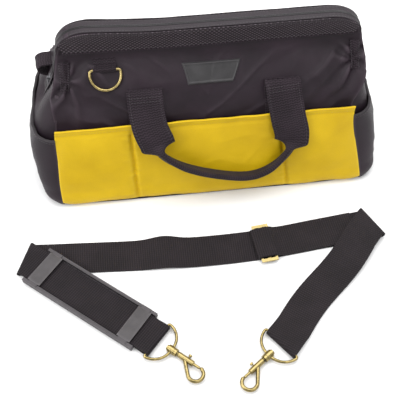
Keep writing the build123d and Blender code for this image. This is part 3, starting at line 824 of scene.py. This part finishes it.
FINE_STITCH = (2.4, 1.0, 0.8)             # length, gap and width
SLEEVE_X = 203.5
for side in ("front", "back"):
    for number, end in enumerate((-1, 1)):
        z = np.linspace(166.5, 195.5, 18)[:, None]
        share = np.linspace(-1, 1, 14)[None, :]
        x = end * (SLEEVE_X + share * (7.2 - 1.2 * smooth_step(190, 166, z)))
        flap = wall_point(x, z, 2.2 + 1.4 * (1 - share ** 2))
        flap = on_side(flap if end > 0 else flap[:, ::-1], side)
        finish_piece(cloth_sheet(side + "_corner_sleeve_" + str(number), flap, 1.6),
                     side + "_mouth", HANDLE_WEB,
                     [side + "_mouth_wire_sleeves"] if number == 0 else [])
        for column in (1, -2):
            sew(side + "_sleeve_seam_" + str(number) + "_" + str(column % 5), flap,
                (slice(None), column), side + "_mouth", "black_webbing", BLACK_THREAD,
                *FINE_STITCH)

RING_X, RING_Y, RING_Z = -148.0, -27.6, 187.3
TURN_BACK = [-1.0, -1.0, 1.0]             # turns a front shape half round, on to the back
TAB_RADIUS = 3.5
slope_n = unit_rows(np.array([0.0, -1.0, -float(wall_slope(188.0))]))
slope_up = np.array([0.0, slope_n[2], -slope_n[1]])
stops = [slope_up * 17 - slope_n * 2.0, slope_up * 11 - slope_n * 1.6, slope_up * 6.0 - slope_n * 0.4]
stops += [TAB_RADIUS * (slope_n * math.cos(angle - 0.2) + slope_up * math.sin(angle))
          for angle in np.linspace(1.0, -1.9, 12)]
line = np.array(stops[::-1]) + [RING_X, RING_Y, RING_Z]
front_tab = np.stack([line + [a, 0.0, 0.0] for a in np.linspace(-16, 16, 22)], axis=1)
for side in ("front", "back"):
    tab = front_tab if side == "front" else front_tab * TURN_BACK
    finish_piece(cloth_sheet(side + "_tab", tab, 1.3), side + "_mouth", HANDLE_WEB,
                 [side + "_ring_tab"])
    sew(side + "_tab_stitches", tab, -2, side + "_mouth", "black_webbing", BLACK_THREAD,
        *FINE_STITCH)

for side in ("front", "back"):
    for number, x in enumerate((-LEG_X, LEG_X)):
        strip = on_side(on_wall(lambda z, x=x: x - HALF_WEB + LEAN(z),
                                lambda z, x=x: x + HALF_WEB + LEAN(z), 122, 163.0, 2.6), side)
        finish_piece(cloth_sheet(side + "_anchor_" + str(number), strip, 2.2), "bag_body",
                     HANDLE_WEB,
                     [side + "_handle_anchors"] if number == 0 else [])
        for row in (-3, -7):
            sew(side + "_anchor_seam_" + str(number) + str(row % 30), strip, row, "bag_body",
                "black_webbing", BLACK_THREAD)

# ---------- left and right ends

for side, sign in (("left", -1), ("right", 1)):
    z = np.linspace(131.5, FOLD_Z, 30)[:, None]
    y = np.linspace(-11.5, 11.5, 15)[None, :]
    x = WALL_LENGTH(z) + 2.0 - 0.7 * (y / 11.5) ** 2
    tape = joined(x, y, z)
    if sign < 0:
        tape = mirrored(tape, 0)
    finish_piece(cloth_sheet(side + "_tape_end", tape, 1.0), "bag_body", TAPE,
                 [side + "_end_zip_tape"])
    centre = tape[:, 7]
    out = normals_of(tape)[:, 7]
    run = np.linspace(0, 29, 22)
    places = at_lengths(run, np.arange(30), centre) + out[0] * 0.2
    teeth = beads(side + "_end_teeth", places, np.tile([0.0, 1.0, 0.0], (22, 1)),
                  np.tile(out[15], (22, 1)), (2.6, 1.1, 0.8))
    finish_piece(teeth, "bag_body", COIL, ["end_zip_coils"] if side == "left" else [])

angles = np.linspace(-0.5 * math.pi, 0.5 * math.pi, 34)
loop_y, loop_z = 29.0, 152.0
loop_x = 1 - float(WALL_LENGTH(loop_z))
loop_line = joined(loop_x - 2 - 15.5 * np.cos(angles), loop_y,
                   loop_z + 11.0 * np.sin(angles) + 1.5 * np.cos(angles))
loop_line = np.concatenate([[[loop_x + 1.5, loop_y, 138.0]], loop_line,
                            [[loop_x + 5, loop_y, 163.5]]])
grab = np.stack([loop_line + [0.6 * math.sin(a / 4), a, 0.05 * a]
                 for a in np.linspace(-12.5, 12.5, 16)], axis=1)
finish_piece(cloth_sheet("grab_webbing", grab[:, ::-1], 2.0), "bag_body",
             HANDLE_WEB, ["grab_loop"])

# ---------- base

def base_outline(inset, count=96):
    """A rounded rectangle round the base."""
    angle = np.linspace(0, 2 * math.pi, count, endpoint=False)
    power = 0.24
    c, s = np.cos(angle), np.sin(angle)
    return np.stack([np.sign(c) * np.abs(c) ** power * (BASE_X - 4 - inset),
                     np.sign(s) * np.abs(s) ** power * (BASE_Y - 2 - inset)], -1)


base_rings = ((0.6, 1.2), (3, 0.5), (12, 0.45), (40, 0.6), (80, 0.8), (112, 0.7))  # inset, height
base_grid = np.array([joined(*base_outline(inset).T, z) for inset, z in base_rings])
base_points = base_grid.reshape(-1, 3)
count = base_grid.shape[1]
base_faces = grid_faces(6, count, flip=True, closed=True) + [[5 * count + i for i in range(count)][::-1]]
upper_points = base_points + [0, 0, 1.5]
base_faces += [[i + len(base_points) for i in reversed(f)] for f in base_faces]
base_faces += [[i, (i + 1) % count, (i + 1) % count + len(base_points), i + len(base_points)]
               for i in range(count)]
base_cloth = make_object("base_cloth", np.concatenate([base_points, upper_points]), base_faces,
                         np.concatenate([base_points, upper_points]))
finish_piece(base_cloth, "bag_body", BLACK, ["base_panel"])
edge = joined(*base_outline(1.0, 160).T, 1.7)
binding = tube("base_edge", edge, 1.5, 8, closed=True)
finish_piece(binding, "bag_body", HANDLE_WEB, ["base_binding"])

# ---------- carry handles

def through(stops, count):
    """A smooth path through stops, evenly spaced."""
    stops = np.array(stops, float)
    apart = np.linalg.norm(np.diff(stops, axis=0), axis=1)
    run = np.concatenate([[0], np.cumsum(np.sqrt(apart))])
    fine = np.linspace(0, run[-1], 1200)
    path = np.stack([hermite(*zip(run, column))(fine) for column in stops.T], -1)
    length = run_of(path)
    return at_lengths(np.linspace(0, length[-1], count), length, path)


def handle_grid():
    """Webbing that hangs flat from its folds, then turns on edge and folds in half into the grip."""
    left = [(-97, -51.5, 165.5), (-97, -57.5, 164), (-96.5, -72, 147), (-93, -90, 127),
            (-86, -102, 112), (-80, -111, 97), (-52, -118, 72)]
    right = [(48, -122, 41), (78, -118, 50), (101, -111, 75), (108, -102, 98), (103, -89, 124),
             (99, -72, 147), (97, -57.5, 164), (97, -51.5, 165.5)]
    path = through(left + [(3, -122, 49)] + right, 220)
    tangent = unit_rows(np.gradient(path, axis=0))
    flat = np.where(path[:, 0] < 0, smooth_step(92, 116, path[:, 2]),
                    smooth_step(74, 102, path[:, 2]))[:, None]    # 1 in a leg, 0 in the grip
    turn = np.sign(-path[:, :1])
    across = flat * turn * [1.0, 0, 0] + (1 - flat) * [0, 0.574, 0.819]
    across -= tangent * np.sum(across * tangent, axis=1, keepdims=True)
    across = unit_rows(across)
    back = np.cross(across, tangent)
    fold = (1 - smooth_step(0, 0.75, flat[:, 0])) * 1.5
    s = np.linspace(-HALF_WEB, HALF_WEB, 41)
    angle = fold[:, None] * np.clip(s / 6.0, -1, 1)[None, :]
    step = s[1] - s[0]
    a = np.cumsum(np.cos(angle), axis=1) * step
    b = np.cumsum(np.sin(angle), axis=1) * step
    a -= a[:, 20][:, None]
    b -= b.min(axis=1)[:, None]
    b -= 0.5 * b.max(axis=1)[:, None]
    sag = noise_at(joined(path[:, :1], path[:, 1:2] + s, path[:, 2:3]), 45, 2.0)
    b += sag * 1.2 * flat * (1 - smooth_step(150, 164, path[:, 2:3]))
    grid = (path[:, None, :] + a[..., None] * across[:, None, :]
            + b[..., None] * back[:, None, :])
    return grid[:, ::-1]


handle_shape = handle_grid()
for side in ("front", "back"):
    grid = handle_shape if side == "front" else handle_shape * TURN_BACK
    body = side + "_carry_handle"
    finish_piece(cloth_sheet(side + "_carry_webbing", grid, 2.3, ribbon=True), body,
                 HANDLE_WEB, [side + "_handle"])
    for number, leg in enumerate((slice(2, 60), slice(-60, -2))):
        for column in (3, -4):
            sew(side + "_handle_edge_" + str(number) + str(column % 41), grid, (leg, column), body,
                "black_webbing", BLACK_THREAD, 3.0, 1.4, 0.8)
    for number, row in enumerate((6, 9, 210, 213)):
        sew(side + "_handle_bar_" + str(number), grid, (row, slice(2, -2)), body,
            "black_webbing", BLACK_THREAD, 3.0, 1.2, 0.9)

# ---------- shoulder strap

MIDDLE = np.array([0.0, -225.0])
LEFT_FOLD, RIGHT_FOLD = np.array([-286.0, -206.0]), np.array([216.0, -201.0])
LEFT_LEG = (math.radians(-40), 228.0, math.radians(-1.5))    # heading, length, slant of its end
RIGHT_LEG = (math.radians(227), 239.0, math.radians(-10))
BAR_Z, WRAP = 5.9, 3.55               # height of the hook loops' bars, radius of the cloth round them
LAYER = 2.55                          # from one layer of webbing to the one that lies on it


def unit(angle):
    return np.array([math.cos(angle), math.sin(angle)])


def left_of(direction):
    return np.array([-direction[1], direction[0]])


def heading(fold):
    return math.atan2(fold[1] - MIDDLE[1], fold[0] - MIDDLE[0])


def crease_of(fold, leg):
    """Direction of the crease at a fold, and the direction across the run that ends there."""
    beyond = heading(fold)
    return unit((leg[0] + beyond) / 2), left_of(unit(beyond))


def crease_offset(fold, leg, w, side):
    """Where the thread at w across the webbing meets the crease, seen from the fold's middle."""
    crease, n1 = crease_of(fold, leg)
    return crease * (w / np.dot(crease, side * n1))


def leg_column(fold, leg, w, bends, top, low_end):
    """One thread of the webbing from the crease out along a leg, round the hook loop's bar and back."""
    angle, length, skew = leg
    crease, n1 = crease_of(fold, leg)
    d2, side = unit(angle), unit(angle + math.pi / 2)
    n2 = 2 * np.dot(crease, n1) * crease - n1
    offset = np.dot(crease_offset(fold, leg, w, 1), d2)
    end = length - w * np.dot(n2, side) * math.tan(skew)

    def flat(run):
        sway = 3.0 * np.sin(np.clip((run - 30) / (length - 60), 0, 1) * 2 * math.pi) * bends
        return fold + run[:, None] * d2 + w * n2 + sway[:, None] * side

    run = np.linspace(offset, end, 90)
    points = np.column_stack([flat(run), top(run)])
    wrap = np.linspace(math.pi / 2, -math.pi / 2, 14)[1:]
    ring = np.column_stack([points[-1, :2] + WRAP * np.cos(wrap)[:, None] * d2,
                            BAR_Z + WRAP * np.sin(wrap)])
    run = end - np.linspace(0, 1, 40)[1:] * (end - max(low_end, offset + 6))
    drop = LAYER + (2 * WRAP - LAYER) * smooth_step(end - 26, end, run)
    tail = np.column_stack([flat(run), top(run) - drop])
    return points, np.concatenate([ring, tail])


def crease_turn(start, direction, low_z, high_z):
    """The half turn of a thread from one layer up to the next."""
    angle = np.linspace(-math.pi / 2, math.pi / 2, 9)[1:-1]
    middle, radius = (low_z + high_z) / 2, (high_z - low_z) / 2
    return np.column_stack([start[None, :] + np.cos(angle)[:, None] * radius * 0.8 * direction,
                            middle + radius * np.sin(angle)])


def run_thread(w):
    """One thread along the two long runs, from the left crease to the right crease."""
    d_left, d_right = unit(heading(LEFT_FOLD)), unit(heading(RIGHT_FOLD))
    left = LEFT_FOLD + crease_offset(LEFT_FOLD, LEFT_LEG, w, -1)
    right = RIGHT_FOLD + crease_offset(RIGHT_FOLD, RIGHT_LEG, w, 1)
    bend = MIDDLE + w * (left_of(d_right) - left_of(d_left)) / 2
    t = np.linspace(0, 1, 90)[:, None]
    first, second = left * (1 - t) + bend * t, bend * (1 - t[1:]) + right * t[1:]
    flat = np.concatenate([first, second])
    reach = 110.0
    near = np.abs(flat[:, 0] - bend[0]) < reach
    a = bend + (left - bend) * reach / abs(left[0] - bend[0])
    b = bend + (right - bend) * reach / abs(right[0] - bend[0])
    u = (flat[near, :1] - a[0]) / (b[0] - a[0])
    flat[near] = (1 - u) ** 2 * a + 2 * u * (1 - u) * bend + u * u * b
    ripple = np.exp(-((flat[:, 0] + 88) / 24) ** 2)
    flat[:, 1] += ripple * (2.5 + w / 12)
    wave = np.abs(noise_on(flat[:, 0], w * 0.25, 70, 4.0))
    loose = smooth_step(-150, -110, flat[:, 0]) * (1 - smooth_step(20, 42, flat[:, 0]))
    return np.column_stack([flat, 1.2 + 0.3 * wave + loose * (1.6 * wave + 2.6 * ripple)])


left_top = hermite((-60, 7.7), (195, 7.7), (214, 8.4), (228, 9.45), (232, 9.45))
right_top = hermite((-60, 8.9), (60, 8.9), (120, 4.2), (200, 4.2), (224, 7.4), (239, 9.45), (243, 9.45))
threads = []
for w in np.linspace(-24.6, 24.6, 17):
    run = run_thread(w)
    left_out, left_back = leg_column(LEFT_FOLD, LEFT_LEG, -w, 0.0, left_top, 205)
    right_out, right_back = leg_column(RIGHT_FOLD, RIGHT_LEG, w, 1.0, right_top, 8)
    left_turn = crease_turn(run[0, :2], unit(heading(LEFT_FOLD)), run[0, 2], left_out[0, 2])
    right_turn = crease_turn(run[-1, :2], unit(heading(RIGHT_FOLD)), run[-1, 2], right_out[0, 2])
    threads.append(np.concatenate([left_back[::-1], left_out[::-1], left_turn[::-1], run, right_turn,
                                   right_out, right_back]))
strap_grid = np.stack(threads, axis=1)
strap = cloth_sheet("strap_webbing", strap_grid, 2.0, 1.0)
finish_piece(strap, "shoulder_strap", STRAP_WEB,
             ["strap_run", "strap_left_leg", "strap_right_leg"])

ALONG, RETURN_END, RETURN_Z = 56.0, 192.0, 3.75    # the adjuster, the layer's far end and height
d_run = unit(heading(RIGHT_FOLD))
profile = [(RETURN_END, RETURN_Z), (RETURN_END - 60, RETURN_Z), (ALONG + 26, RETURN_Z),
           (ALONG + 17, 5.6), (ALONG + 11, 8.7), (ALONG, 9.2), (ALONG - 11, 8.7),
           (ALONG - 15.5, 6.8), (ALONG - 14.5, 4.3), (ALONG - 8, RETURN_Z)]
profile = through([(a, 0, z) for a, z in profile], 110)
over = np.stack([joined(*(MIDDLE + profile[:, :1] * d_run + w * left_of(d_run)).T, profile[:, 2])
                 for w in np.linspace(-24.2, 24.2, 17)], axis=1)
finish_piece(cloth_sheet("return_webbing", over[:, ::-1], 1.9, 0.9), "strap_adjuster",
             STRAP_WEB, ["strap_return_layer"])

# ---------- grained grips on the pad's cross bars

PAD_CENTRE, BAR_MIDDLE, BAR_TOP = 114.0, 77.0, 12.0
GRIP_ALONG, GRIP_ACROSS = 10.5, 25.5      # half sizes of a grained plate
d_leg = unit(LEFT_LEG[0])
along = np.linspace(-GRIP_ALONG, GRIP_ALONG, 19)[:, None]
across = np.linspace(-GRIP_ACROSS, GRIP_ACROSS, 45)[None, :]
edge = np.minimum(GRIP_ALONG - np.abs(along), GRIP_ACROSS - np.abs(across))
rise = (BAR_TOP + 0.3 + 0.9 * smooth_step(0, 2.2, edge)
        + 0.12 * np.sin(across * 2.4) * smooth_step(2, 4, edge))
for number, middle in enumerate((-BAR_MIDDLE, BAR_MIDDLE)):
    centre = LEFT_FOLD + (PAD_CENTRE + middle + along)[..., None] * d_leg
    grip = np.dstack([centre + across[..., None] * left_of(d_leg), rise])
    finish_piece(cloth_sheet("pad_grip_" + str(number), grip[:, ::-1], 0.8), "pad",
                 BAR_RUBBER)

# ---------- hard parts kept from the CAD

def dress(node, material, bevel=0.0):
    """Gives a CAD part its material, and rounds its edges by a bevel in millimetres."""
    sharp = math.radians(35)
    obj = nodes[node]
    obj.data.materials.clear()
    obj.data.materials.append(material)
    obj.data.shade_smooth()
    obj.data.set_sharp_from_angle(angle=sharp)
    if bevel:
        rounded = obj.modifiers.new("edge", "BEVEL")
        rounded.width = bevel * MM
        rounded.segments = 3
        rounded.limit_method = "ANGLE"
        rounded.angle_limit = sharp


dress("shoulder_pad", PAD_RUBBER, 1.1)
dress("tri_glide", ANTIQUE, 0.5)
dress("zip_slider", ENAMEL, 0.5)
dress("zip_pull", ENAMEL)
dress("zip_end_stops", STEEL, 0.4)
dress("base_board", BOARD, 0.6)
for half in ("front", "back"):
    dress(half + "_d_ring", PALE_BRASS)
for half in ("left", "right"):
    dress(half + "_hook_loop", ANTIQUE, 0.3)
    dress(half + "_snap_hook", ANTIQUE, 0.5)
    dress(half + "_plunger", ANTIQUE, 0.3)
    dress(half + "_spring", STEEL)

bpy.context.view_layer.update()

floor_mesh = bpy.data.meshes.new("floor")
floor_mesh.from_pydata([(-6, -6, 0), (6, -6, 0), (6, 6, 0), (-6, 6, 0)], [], [(0, 1, 2, 3)])
floor = bpy.data.objects.new("floor", floor_mesh)
bpy.context.scene.collection.objects.link(floor)
white = Shader("studio_floor", 0.75, specular=0.1)
white.bsdf.inputs["Base Color"].default_value = rgb(0.86, 0.86, 0.86)
floor_mesh.materials.append(white.material)


def area_light(name, place, aim, size_m, watts):
    light = bpy.data.lights.new(name, "AREA")
    light.shape = "RECTANGLE"
    light.size, light.size_y = size_m
    light.energy = watts
    obj = bpy.data.objects.new(name, light)
    obj.location = place
    obj.rotation_euler = (Vector(aim) - Vector(place)).to_track_quat("-Z", "Y").to_euler()
    bpy.context.scene.collection.objects.link(obj)


area_light("overhead", (0.1, 0.3, 1.9), (0, -0.1, 0.0), (2.4, 1.8), 38)
area_light("left_window", (-1.7, -0.5, 1.3), (0, -0.1, 0.05), (1.4, 1.2), 22)
area_light("back_strip", (0.6, 1.5, 0.9), (0, 0, 0.15), (1.8, 0.6), 11)
area_light("front_fill", (0.8, -1.8, 1.3), (0, -0.2, 0.05), (1.6, 1.0), 9)

world = bpy.data.worlds.new("studio")
world.use_nodes = True
sky = world.node_tree.nodes
height = sky.new("ShaderNodeSeparateXYZ")
shade = sky.new("ShaderNodeMapRange")
for key, value in {"From Min": -0.1, "From Max": 0.75, "To Min": 0.18, "To Max": 1.0}.items():
    shade.inputs[key].default_value = value
place = sky.new("ShaderNodeTexCoord")
world.node_tree.links.new(place.outputs["Generated"], height.inputs[0])
world.node_tree.links.new(height.outputs[2], shade.inputs["Value"])
world.node_tree.links.new(shade.outputs["Result"], sky["Background"].inputs["Color"])
sky["Background"].inputs["Strength"].default_value = 0.85
bpy.context.scene.world = world
bpy.context.scene.view_settings.view_transform = "Standard"

camera_data = bpy.data.cameras.new("photo_camera")
camera_data.lens = 72.0
camera_data.sensor_width = 36.0
camera = bpy.data.objects.new("photo_camera", camera_data)
camera.location = (-0.106, -0.814, 0.985)
aim = Vector((-0.028, -0.129, 0.0))
camera.rotation_euler = (aim - camera.location).to_track_quat("-Z", "Y").to_euler()
bpy.context.scene.collection.objects.link(camera)
bpy.context.scene.camera = camera
